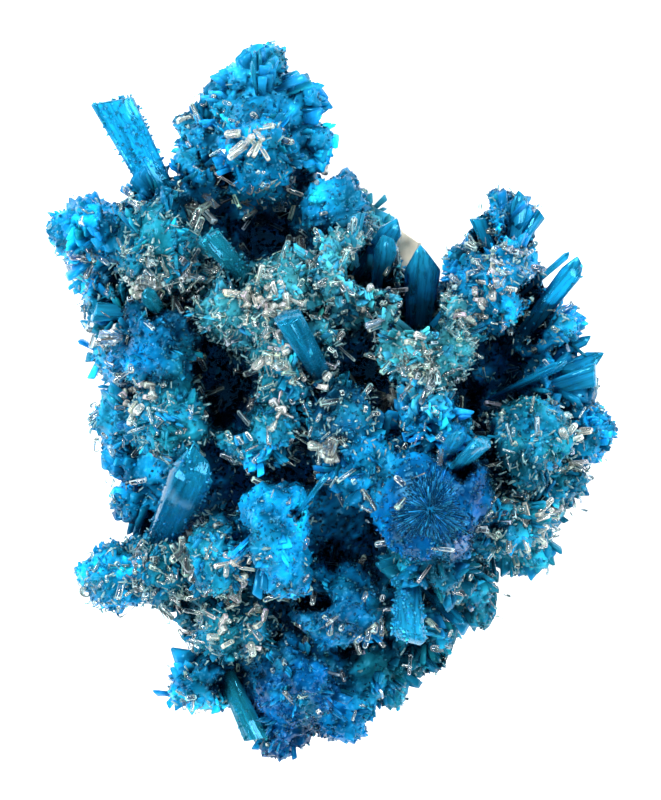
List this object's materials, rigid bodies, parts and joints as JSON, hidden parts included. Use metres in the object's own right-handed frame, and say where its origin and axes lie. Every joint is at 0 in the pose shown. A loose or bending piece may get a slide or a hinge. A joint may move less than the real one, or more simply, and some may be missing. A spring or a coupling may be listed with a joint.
{
  "type": "pentagonite cluster",
  "caption": "Electric-blue pentagonite crystal cluster of radiating blades and sprays, dusted with clear zeolite crystals, lying on the flat face where it was cut from its rock.",
  "frame": {"origin": "a point of the flat cut face near its middle, where the specimen rests on a surface", "axes": "+Z out of the front of the specimen, away from the cut; +Y towards the top spire; +X to the right, towards the long right blade"},
  "size_m": [0.0281, 0.0357, 0.015],
  "materials": {
    "pentagonite_blue": "vitreous, translucent",
    "zeolite_clear": "vitreous, clear to milky",
    "stilbite_tan": "pearly, translucent"
  },
  "bodies": {
    "root": {"pentagonite_cluster": "pentagonite_blue", "stilbite_crystal": "stilbite_tan", "zeolite_rod_on_spire": "zeolite_clear", "zeolite_rod_under_spire": "zeolite_clear", "zeolite_rod_left_of_spire": "zeolite_clear", "zeolite_block_on_left_shoulder": "zeolite_clear", "zeolite_block_on_left_edge": "zeolite_clear", "zeolite_rod_beside_tablet": "zeolite_clear", "zeolite_block_on_coated_tablet": "zeolite_clear", "zeolite_flat_crystal_on_coated_tablet": "zeolite_clear", "zeolite_rod_on_pale_club": "zeolite_clear", "zeolite_rod_on_tower": "zeolite_clear", "zeolite_rod_above_rosette": "zeolite_clear", "zeolite_block_in_middle": "zeolite_clear", "zeolite_grooved_crystal_on_dark_prism": "zeolite_clear", "zeolite_block_on_club": "zeolite_clear", "zeolite_pale_crystal_at_right": "zeolite_clear"}
  },
  "joints": []
}
